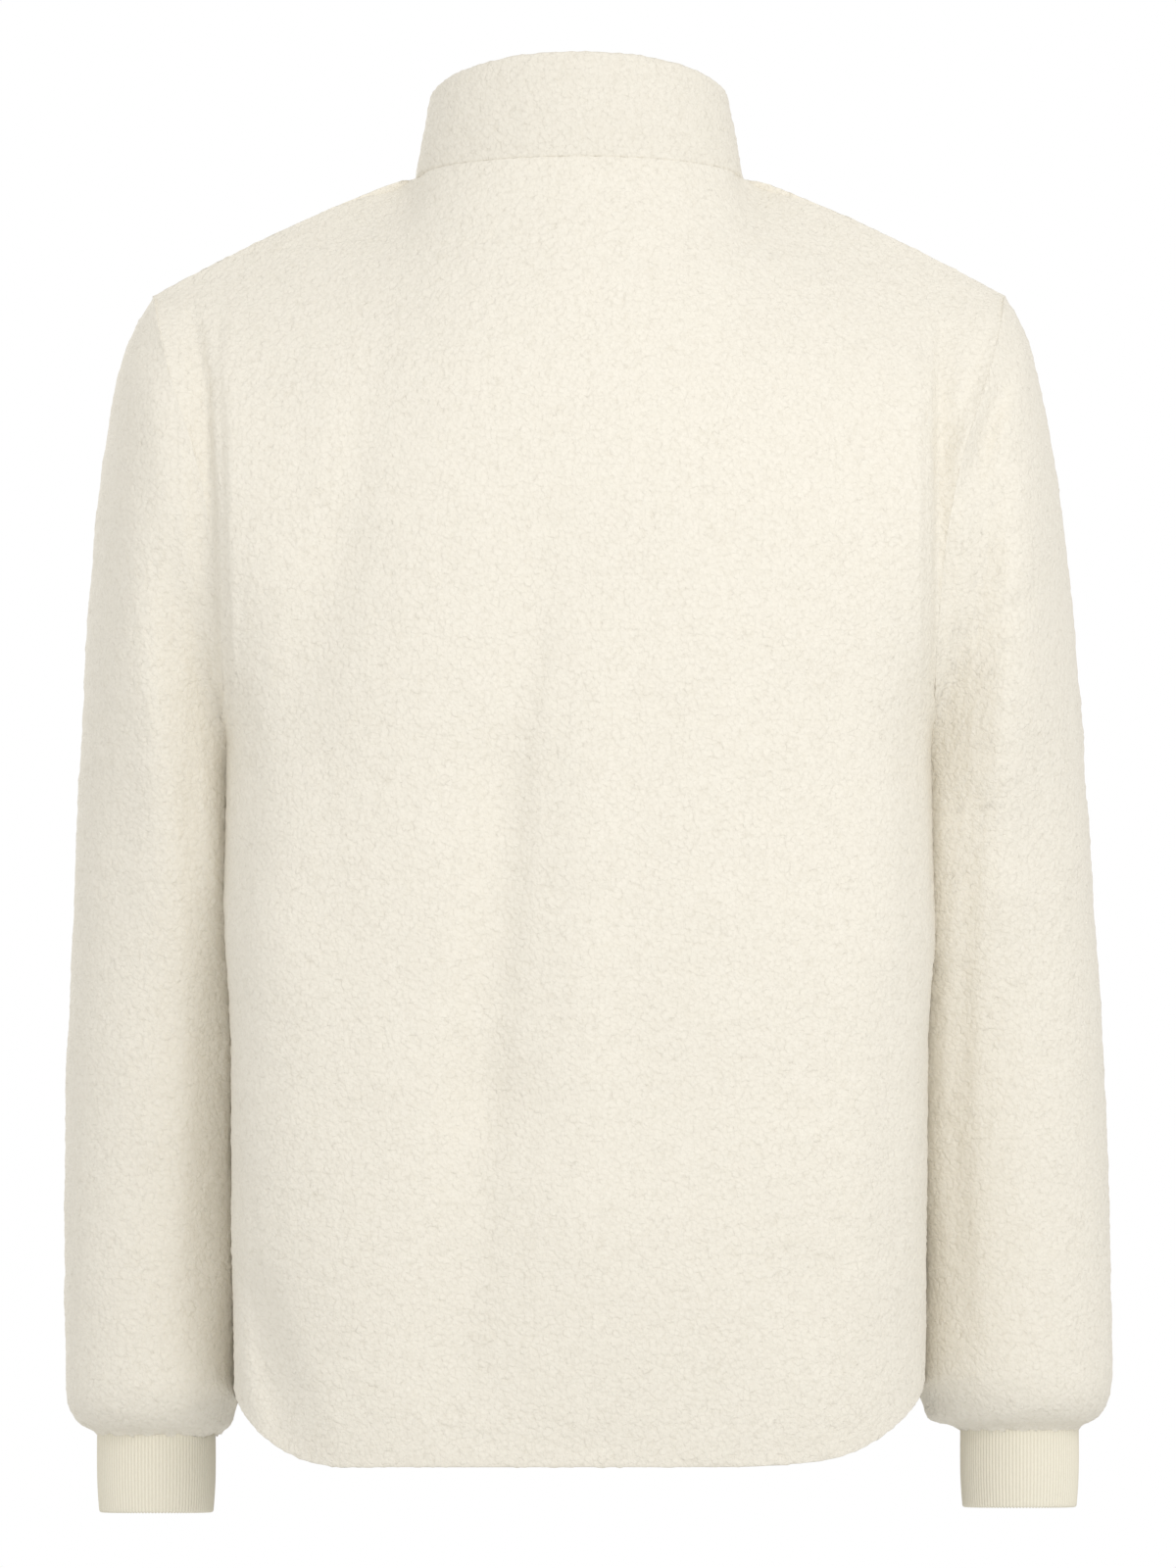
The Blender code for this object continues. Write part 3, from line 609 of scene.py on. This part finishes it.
FOLDS = (
    # the back
    Fold(
        BACK, 0.03, -0.0045, (0.020, 0.034),
        (0.020, -0.240), (0.037, -0.348), (0.044, -0.435),
        (0.054, -0.523), (0.061, -0.610), (0.068, -0.700),
    ),
    Fold(
        BACK, 0.03, 0.0022, 0.034,
        (-0.012, -0.280), (0.000, -0.460), (0.014, -0.640),
    ),
    Fold(
        BACK, 0.03, -0.0024, 0.024,
        (0.118, -0.120), (0.132, -0.200), (0.150, -0.280), (0.164, -0.340),
    ),
    Fold(
        BACK, 0.03, -0.0026, 0.020,
        (-0.178, -0.470), (-0.184, -0.680),
    ),
    Fold(
        BACK, 0.02, -0.0100, (0.026, 0.016),
        (0.188, -0.640), (0.178, -0.690), (0.164, -0.740),
    ),
    Fold(
        BACK, 0.03, -0.0012, 0.030,
        (-0.090, -0.210), (-0.100, -0.300),
    ),
    Fold(
        BACK, 0.03, -0.0012, 0.030,
        (-0.128, -0.620), (-0.130, -0.670),
    ),
    # the rolls beside the armholes: each steps down from the body's edge and rises slowly to the sleeve
    Fold(
        BACK, 0.01, -0.0095, (0.0055, 0.020),
        (0.2200, -0.088), (0.2128, -0.130), (0.2098, -0.198),
        (0.2082, -0.265), (0.2060, -0.350), (0.2055, -0.390),
    ),
    Fold(
        BACK, 0.01, 0.0085, (0.055, 0.008),
        (0.2030, -0.115), (0.1995, -0.150), (0.1985, -0.198),
        (0.1965, -0.265), (0.1940, -0.400), (0.1920, -0.560),
    ),
    Fold(
        BACK, -0.03, 0.0120, 0.034,
        (0.2530, -0.125), (0.2510, -0.165), (0.2480, -0.230), (0.2440, -0.340),
    ),
    Fold(
        BACK, -0.03, 0.0110, 0.034,
        (0.2560, -0.130), (0.2560, -0.180), (0.2560, -0.240), (0.2520, -0.360),
    ),
    Fold(
        BACK, -0.03, 0.0045, 0.018,
        (0.2410, -0.120), (0.2360, -0.160), (0.2300, -0.240),
    ),
    Fold(
        BACK, -0.03, 0.0040, 0.024,
        (0.2420, -0.300), (0.2400, -0.450),
    ),
    Fold(
        BACK, 0.01, -0.0115, (0.020, 0.0050),
        (-0.2050, -0.105), (-0.2045, -0.160), (-0.2045, -0.220), (-0.2040, -0.350), (-0.2040, -0.370),
    ),
    Fold(
        BACK, 0.01, 0.0080, (0.008, 0.055),
        (-0.1935, -0.120), (-0.1935, -0.230), (-0.1930, -0.400), (-0.1925, -0.560),
    ),
    Fold(
        BACK, -0.03, 0.0120, 0.034,
        (-0.2530, -0.125), (-0.2510, -0.165), (-0.2480, -0.230), (-0.2440, -0.340),
    ),
    Fold(
        BACK, -0.03, 0.0110, 0.034,
        (-0.2560, -0.130), (-0.2560, -0.180), (-0.2560, -0.240), (-0.2520, -0.360),
    ),
    Fold(
        BACK, -0.03, 0.0040, 0.024,
        (-0.2420, -0.300), (-0.2400, -0.450),
    ),
    Fold(
        BACK, 0.00, -0.0022, 0.008,
        (-0.2350, -0.100), (-0.2260, -0.130), (-0.2150, -0.160),
    ),
    Fold(
        BACK, 0.00, -0.0040, 0.010,
        (-0.2490, -0.120), (-0.2340, -0.155), (-0.2180, -0.195),
    ),
    Fold(
        BACK, 0.00, 0.0022, 0.008,
        (-0.2370, -0.124), (-0.2260, -0.148), (-0.2150, -0.175),
    ),
    Fold(
        BACK, 0.00, -0.0022, 0.012,
        (-0.2670, -0.240), (-0.2490, -0.258), (-0.2310, -0.270),
    ),
    # the sleeves
    Fold(
        BACK, -0.03, -0.0030, 0.014,
        (0.2225, -0.350), (0.2140, -0.500), (0.2140, -0.690),
    ),
    Fold(
        BACK, -0.03, -0.0022, 0.010,
        (-0.2240, -0.400), (-0.2180, -0.560), (-0.2200, -0.690),
    ),
    # the front
    Fold(
        FRONT, -0.05, -0.0030, 0.028,
        (0.120, -0.250), (0.082, -0.420), (0.085, -0.620),
    ),
    Fold(
        FRONT, -0.05, -0.0028, 0.026,
        (-0.115, -0.230), (-0.092, -0.380), (-0.100, -0.520), (-0.120, -0.680),
    ),
    Fold(
        FRONT, -0.03, -0.0045, 0.011,
        (0.218, -0.100), (0.213, -0.150), (0.209, -0.210),
    ),
    Fold(
        FRONT, -0.03, -0.0045, 0.011,
        (-0.219, -0.095), (-0.212, -0.150), (-0.208, -0.215),
    ),
    Fold(
        FRONT, -0.07, -0.0030, 0.016,
        (0.240, -0.420), (0.262, -0.455), (0.280, -0.465),
    ),
    Fold(
        FRONT, -0.07, -0.0026, 0.014,
        (0.232, -0.480), (0.255, -0.520), (0.278, -0.535),
    ),
    Fold(
        FRONT, -0.07, -0.0030, 0.016,
        (-0.240, -0.430), (-0.262, -0.460), (-0.284, -0.480),
    ),
    Fold(
        FRONT, -0.07, -0.0024, 0.014,
        (-0.236, -0.520), (-0.262, -0.555), (-0.284, -0.575),
    ),
    # sewn down beside the zip
    Fold(
        FRONT, -0.03, -0.0010, 0.0035,
        (0.0125, -0.760), (0.0125, -0.400), (0.0125, -0.060),
    ),
    Fold(
        FRONT, -0.03, -0.0010, 0.0035,
        (-0.0125, -0.760), (-0.0125, -0.400), (-0.0125, -0.060),
    ),
)


def wander(point):
    """How far loose cloth stands off its solid here, in shares: broad waves and flatter level ones."""
    broad = noise.noise(point / LOOSE_SIZE)
    level = noise.noise(Vector([part / size for part, size in zip(point, LEVEL_SIZE)]) + LEVEL_SHIFT)
    return broad + LEVEL_SHARE * level


def loosen(bm, wall):
    """Lets the cloth wander a little and lays the folds in it, both skins alike. Its rims stay put."""
    points, normals = places(bm)
    up, along, inside = layer(bm, "up"), layer(bm, "along"), layer(bm, "behind") > 0.5
    normals[inside] *= -1
    inward = np.minimum(up, wall.size[0] - up)
    if not wall.closed:
        inward = np.minimum(inward, np.minimum(along, wall.size[1] - along))
    free = np.clip(inward / RIM_HOLD, 0, 1)
    stray = np.array([wander(vert.co) for vert in bm.verts])
    points = points + normals * (free * stray * LOOSE)[:, None]
    points[:, 1] += sum(fold.lift(points) for fold in FOLDS)
    move(bm, points)


def lean(bm, wall, node):
    """Lays the sleeve against the side of the body, sunk a little in its pile, and tucks its back in
    beside it, deeper and wider further down. Its seam stays as sewn."""
    side = 1 if node == "sleeve_left" else -1
    points, _ = places(bm)
    x, y, z = points.T.copy()
    gap = side * x - np.interp(z, *zip(*BODY_EDGE))
    free = ramp(wall.size[0] - layer(bm, "up"), 0, SEAM_HOLD)
    below = ramp(z, UNDERARM_Z + 0.032, UNDERARM_Z)
    points[:, 0] -= side * LEAN * ramp(gap, LEAN_REACH, 0) * below * free
    low = ramp(z, *TUCK_GROWS)
    depth, reach = (end * (first + (1 - first) * low) for end, first in zip(TUCK[node], TUCK_START))
    depth = depth * ramp(z, UNDERARM_Z + 0.010, UNDERARM_Z - 0.028)
    points[:, 1] -= depth * ramp(gap, reach, 0) * ramp(y, -0.010, 0.030) * free
    move(bm, points)


def turn_hem(bm):
    """Curls the back's hem in, and lets the hem end a little higher at the wearer's right."""
    points, _ = places(bm)
    x, y, z = points.T.copy()
    points[:, 1] -= HEM_CURL * np.clip((-0.590 - z) / 0.140, 0, 1.2) ** 2 * ramp(y, 0.020, 0.070)
    points[:, 2] += HEM_TURN * ramp(x, -0.085, -0.185) * ramp(z, -0.640, -0.730)
    move(bm, points)


def swell(bm, wall):
    """Fills the body out over the underarm's seam and towards the sleeves below it."""
    points, _ = places(bm)
    x, y, z = points.T.copy()
    along = layer(bm, "along")
    free = ramp(np.minimum(along, wall.size[1] - along), 0, SEAM_HOLD)
    height = ramp(z, UNDERARM_Z + 0.034, UNDERARM_Z + 0.004) * ramp(z, -0.520, -0.420)
    depth = ramp(np.abs(y), -0.010, 0.010) * ramp(np.abs(y), 0.080, 0.045)
    outer = ramp(np.abs(x), 0.160, 0.190)
    points[:, 0] += np.sign(x) * SWELL * height * depth * outer * free
    move(bm, points)


# ---- pile ----


def clump_height(point):
    """The pile's height here, from 0 in a crevice to 1 on a clump."""
    push = noise.noise_vector(point / (PUSH_SIZE * CLUMP)) * CLUMP * CLUMP_PUSH
    nearest = noise.voronoi((point + push) / CLUMP)[0][0]
    return max(1.0 - CLUMP_STEEP * nearest * nearest, 0.0)


def grow_pile(bm, both_sides, hang):
    """Moves the fleece along its normals, lets it hang past its low rim and notes the pile's height."""
    behind, up = bm.verts.layers.float["behind"], bm.verts.layers.float["up"]
    # The pile's height is kept for the sherpa's colour, which darkens the low pile with painted shade.
    pile = bm.verts.layers.float.new("pile")
    moves = []
    for vert in bm.verts:
        rise = clump_height(vert.co)
        if vert[behind] > 0.5 and not both_sides:
            vert[pile] = 0.5
            continue
        vert[pile] = rise
        drop = rise * hang * max(1 - vert[up] / HANG_REACH, 0) ** 2
        moves.append((vert, vert.co + vert.normal * (rise - 0.5) * CLUMP_HEIGHT - Vector((0, 0, drop))))
    for vert, place in moves:
        vert.co = place
    bm.normal_update()


def ribbed(bm, wall):
    """Rounds the knit into fine upright ribs."""
    points, normals = places(bm)
    turn = layer(bm, "along") / wall.size[1]
    crest = 0.5 + 0.5 * np.cos(2 * np.pi * RIBS * turn)
    # The crests are kept as the pile's height for the rib knit's colour, which darkens between them with
    # painted shade.
    pile = bm.verts.layers.float.new("pile")
    for vert, value in zip(bm.verts, crest):
        vert[pile] = value
    move(bm, points + normals * ((crest - 0.5) * RIB_DEPTH)[:, None])


# ---- pieces ----


def piece(name, bm, finishes, node, body="jacket"):
    """The finished piece, in place of its solid and riding on its body."""
    mesh = bpy.data.meshes.new(name)
    bm.to_mesh(mesh)
    bm.free()
    for finish in finishes:
        mesh.materials.append(finish)
    obj = bpy.data.objects.new(name, mesh)
    bpy.context.scene.collection.objects.link(obj)
    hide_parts(node)
    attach(obj, body)
    return obj


def cell_counts(wall, cell):
    return [max(1, round(length / cell)) for length in wall.size]


def make_fleece(outside, collar, inside):
    for node, (name, thickness, flat, area) in FLEECE_PIECES.items():
        wall = Wall(node, thickness)
        two_faced = node == "collar"
        ratio = 1 if two_faced else FLEECE_RATIO
        cells = cell_counts(wall, FLEECE_CELL * ratio)
        bm = cloth(wall, cells, FLEECE_ROUND, ratio, FLEECE_REACH, loose=not two_faced)
        if node.startswith("sleeve"):
            lean(bm, wall, node)
        if node.startswith(("back", "front")):
            swell(bm, wall)
        if node in ("back", "front_right"):
            turn_hem(bm)
        grow_pile(bm, two_faced, HANG if node.startswith("sleeve") else 0.0)
        finishes = (collar, collar) if two_faced else (outside, inside)
        made = piece(name, bm, finishes, node)


def make_cuffs(finish):
    for side in ("left", "right"):
        wall = Wall("cuff_" + side, RIB_WALL)
        bm = cloth(wall, (CUFF_ROWS, RIBS * RIB_CELLS), RIB_ROUND)
        ribbed(bm, wall)
        made = piece(side + "_cuff", bm, (finish,), "cuff_" + side)


def make_tapes(finish):
    for side in ("left", "right"):
        wall = Wall("zip_tape_" + side, TAPE_WALL)
        bm = cloth(wall, cell_counts(wall, TAPE_CELL), TAPE_ROUND)
        made = piece(side + "_zip_tape", bm, (finish,), "zip_tape_" + side)


def block(size, rounding):
    bm = bmesh.new()
    bmesh.ops.create_cube(bm, size=1)
    bmesh.ops.scale(bm, vec=size, verts=bm.verts[:])
    bmesh.ops.bevel(
        bm,
        geom=bm.edges[:],
        offset=rounding,
        affect="EDGES",
        segments=1,
        profile=0.5,
        material=-1,
    )
    return bm


def add(bm, part, matrix):
    """Puts a copy of the part in the piece, in its place."""
    bmesh.ops.transform(part, matrix=matrix, verts=part.verts[:])
    mesh = bpy.data.meshes.new("part")
    part.to_mesh(mesh)
    bmesh.ops.transform(part, matrix=matrix.inverted(), verts=part.verts[:])
    bm.from_mesh(mesh)
    bpy.data.meshes.remove(mesh)


def make_teeth(finish):
    """Single teeth along the closed chain, in turn from its left and its right row."""
    wall = Wall("zip_chain", CHAIN_WALL)
    height, width = wall.size
    count = int(height / TOOTH_PITCH)
    up = (np.arange(count) + 0.5) * height / count
    middle = np.full(count, width / 2)
    front, back, side, above = (
        wall.points(*where)
        for where in (
            (up, middle, np.zeros(count, bool)),
            (up, middle, np.ones(count, bool)),
            (up, middle + TOOTH_STEP, np.zeros(count, bool)),
            (up + TOOTH_STEP, middle, np.zeros(count, bool)),
        )
    )
    tooth, bm = block(TOOTH, 0.0003), bmesh.new()
    for i in range(count):
        across = Vector(side[i] - front[i]).normalized()
        rise = Vector(above[i] - front[i]).normalized()
        facing = across.cross(rise)
        turn = Matrix((across, facing, rise)).transposed().to_4x4()
        shift = across * (TOOTH_SIDE if i % 2 else -TOOTH_SIDE)
        add(bm, tooth, Matrix.Translation(Vector((front[i] + back[i]) / 2) + shift) @ turn)
    tooth.free()
    piece("zip_teeth", bm, (finish,), "zip_chain")


def outline(points, thickness, rounding):
    """A flat part from (x, z) points, its thickness centred on y = 0."""
    bm = bmesh.new()
    face = bm.faces.new([bm.verts.new((x, -thickness / 2, z)) for x, z in points])
    made = bmesh.ops.extrude_face_region(bm, geom=[face])["geom"]
    verts = [part for part in made if isinstance(part, bmesh.types.BMVert)]
    bmesh.ops.translate(bm, vec=(0, thickness, 0), verts=verts)
    bmesh.ops.recalc_face_normals(bm, faces=bm.faces[:])
    bmesh.ops.bevel(
        bm,
        geom=bm.edges[:],
        offset=rounding,
        affect="EDGES",
        segments=2,
        profile=0.5,
        material=-1,
        clamp_overlap=True,
    )
    return bm


def both_halves(half):
    """An outline from its +X half, which goes from the middle line down to it again."""
    return half + [(-x, z) for x, z in reversed(half) if x > 0]


def arc(centre, radius, start, end, steps):
    """Points of an arc, in (x, z) and degrees from +X."""
    angles = np.radians(np.linspace(start, end, steps + 1))
    return [(centre[0] + radius * math.cos(a), centre[1] + radius * math.sin(a)) for a in angles]


def make_slider(finish):
    """Two shaped plates with side flanges, the wedge between them and an arched bridge."""
    bm = bmesh.new()
    shape = both_halves(
        [(0, 0.0049), (0.0014, 0.0055), (0.0033, 0.0054), (0.0042, 0.0045), (0.0042, 0.0022)]
        + [(0.0036, -0.0004), (0.0032, -0.0030), (0.0031, -0.0049), (0.0025, -0.0055), (0, -0.0055)]
    )
    front, back = outline(shape, SLIDER_FRONT[1], 0.0004), outline(shape, SLIDER_BACK[1], 0.0003)
    add(bm, front, Matrix.Translation((0, SLIDER_FRONT[0], 0)))
    add(bm, back, Matrix.Translation((0, SLIDER_BACK[0], 0)))
    wedge = block((0.0040, 0.0056, 0.0040), 0.0005)
    add(bm, wedge, Matrix.Translation((0, (SLIDER_FRONT[0] + SLIDER_BACK[0]) / 2, 0.0033)))
    flange, inwards = block((0.0007, 0.0014, 0.0070), 0.0002), 0.0009
    for x in (-0.0036, 0.0036):
        for y in (SLIDER_FRONT[0] + inwards, SLIDER_BACK[0] - inwards):
            add(bm, flange, Matrix.Translation((x, y, -0.0008)))
    inner, outer, foot = 0.0018, 0.0032, 0.0047
    arch = arc((0, 0), outer, 0, 180, 16) + [(-outer, -foot), (-inner, -foot)]
    arch += arc((0, 0), inner, 180, 0, 16) + [(inner, -foot), (outer, -foot)]
    bridge = outline(arch, BRIDGE_WIDTH, 0.0004)
    # The arch is drawn in x and z, and stands with its x up the zip and its z out of the jacket.
    stand = Matrix(((0, 1, 0, 0), (0, 0, -1, BRIDGE_CENTRE), (1, 0, 0, 0), (0, 0, 0, 1)))
    add(bm, bridge, stand)
    for part in (front, back, wedge, flange, bridge):
        part.free()
    bmesh.ops.transform(bm, matrix=SLIDER_FRAME, verts=bm.verts[:])
    bmesh.ops.recalc_face_normals(bm, faces=bm.faces[:])
    piece("slider", bm, (finish,), "zip_slider")


def make_pull(finish):
    """A flat tab with a sunk panel on both faces, whose bar turns in the bridge."""
    half, arm, above, end, window = 0.0035, 0.0015, 0.0007, -0.0280, -0.0050
    corner, border, sunk = 0.0024, 0.0007, 0.00025
    bar_radius, bar_inset = 0.00075, 0.0002
    shape = both_halves(
        [(0, window), (half - arm, window), (half - arm, above), (half, above)]
        + [(half, end + corner), *arc((half - corner, end + corner), corner, -15, -90, 5), (0, end)]
    )
    tab = outline(shape, 0.0014, 0.0003)
    bm = bmesh.new()
    add(bm, tab, Matrix.Identity(4))
    tab.free()
    shoulder = window - 0.0006  # the panel starts this low, below the arms
    bmesh.ops.bisect_plane(
        bm, geom=bm.verts[:] + bm.edges[:] + bm.faces[:], plane_co=(0, 0, shoulder), plane_no=(0, 0, 1)
    )
    bm.normal_update()
    below = [face for face in bm.faces if face.calc_center_median().z < shoulder]
    panels = [face for face in below if abs(face.normal.y) > 0.99 and face.calc_area() > 4e-5]
    bmesh.ops.inset_region(bm, faces=panels, thickness=border, depth=0.0)
    bmesh.ops.inset_region(bm, faces=panels, thickness=sunk, depth=-sunk)
    bar = bmesh.new()
    bmesh.ops.create_cone(
        bar,
        cap_ends=True,
        segments=24,
        radius1=bar_radius,
        radius2=bar_radius,
        depth=2 * (half - bar_inset),
    )
    add(bm, bar, Matrix.Rotation(math.pi / 2, 4, "Y"))
    bar.free()
    axis = SLIDER_FRAME @ Matrix.Translation((0, -PULL_LIFT, 0))
    bmesh.ops.transform(bm, matrix=axis, verts=bm.verts[:])
    piece("pull_tab_metal", bm, (finish,), "zip_pull", body="pull_tab")


# ---- studio ----


def make_camera():
    camera = bpy.data.cameras.new("camera")
    camera.lens = SENSOR * CAMERA_DISTANCE / SEEN_HEIGHT
    camera.sensor_width = SENSOR
    camera.clip_end = 10 * CAMERA_DISTANCE
    eye = bpy.data.objects.new("camera", camera)
    eye.location = AIM + Vector((0, CAMERA_DISTANCE, 0))
    eye.rotation_euler = (math.pi / 2, 0, math.pi)
    bpy.context.scene.collection.objects.link(eye)
    bpy.context.scene.camera = eye


def make_floor():
    bm = bmesh.new()
    bmesh.ops.create_circle(bm, cap_ends=True, segments=64, radius=FLOOR_RADIUS)
    mesh = bpy.data.meshes.new("floor")
    bm.to_mesh(mesh)
    bm.free()
    floor = bpy.data.objects.new("floor", mesh)
    floor.location.z = FLOOR_Z
    mesh.materials.append(studio_floor())
    bpy.context.scene.collection.objects.link(floor)


def make_lights():
    for name, place, size, power in LIGHTS:
        light = bpy.data.lights.new(name, "AREA")
        light.size = size
        light.energy = power
        lamp = bpy.data.objects.new(name, light)
        lamp.location = place
        lamp.rotation_euler = (AIM - Vector(place)).to_track_quat("-Z", "Y").to_euler()
        lamp.visible_camera = False
        bpy.context.scene.collection.objects.link(lamp)


def make_world():
    """White behind the jacket, and softer all round as a light."""
    world = bpy.data.worlds.new("studio")
    world.use_nodes = True
    tree = world.node_tree
    tree.nodes.clear()
    seen, lit = (tree.nodes.new("ShaderNodeBackground") for _ in range(2))
    seen.inputs["Strength"].default_value = 1.0
    lit.inputs["Color"].default_value = (1.0, 0.995, 0.985, 1)
    lit.inputs["Strength"].default_value = WORLD_LIGHT
    path = tree.nodes.new("ShaderNodeLightPath")
    mix = tree.nodes.new("ShaderNodeMixShader")
    out = tree.nodes.new("ShaderNodeOutputWorld")
    seen.inputs["Color"].default_value = (1, 1, 1, 1)
    tree.links.new(path.outputs["Is Camera Ray"], mix.inputs[0])
    tree.links.new(lit.outputs[0], mix.inputs[1])
    tree.links.new(seen.outputs[0], mix.inputs[2])
    tree.links.new(mix.outputs[0], out.inputs["Surface"])
    bpy.context.scene.world = world


noise.seed_set(PILE_SEED)
nickel = satin_nickel()
# The collar gets a darker copy of the fleece: painted shade.
make_fleece(sherpa("cream_sherpa"), sherpa("collar_sherpa_painted_shade", COLLAR_PAINTED_SHADE), knit_back())
make_cuffs(rib_knit())
make_tapes(zip_cloth())
make_teeth(tooth_plastic())
make_slider(nickel)
make_pull(nickel)
make_camera()
make_floor()
make_lights()
make_world()
bpy.context.scene.view_settings.view_transform = "Standard"
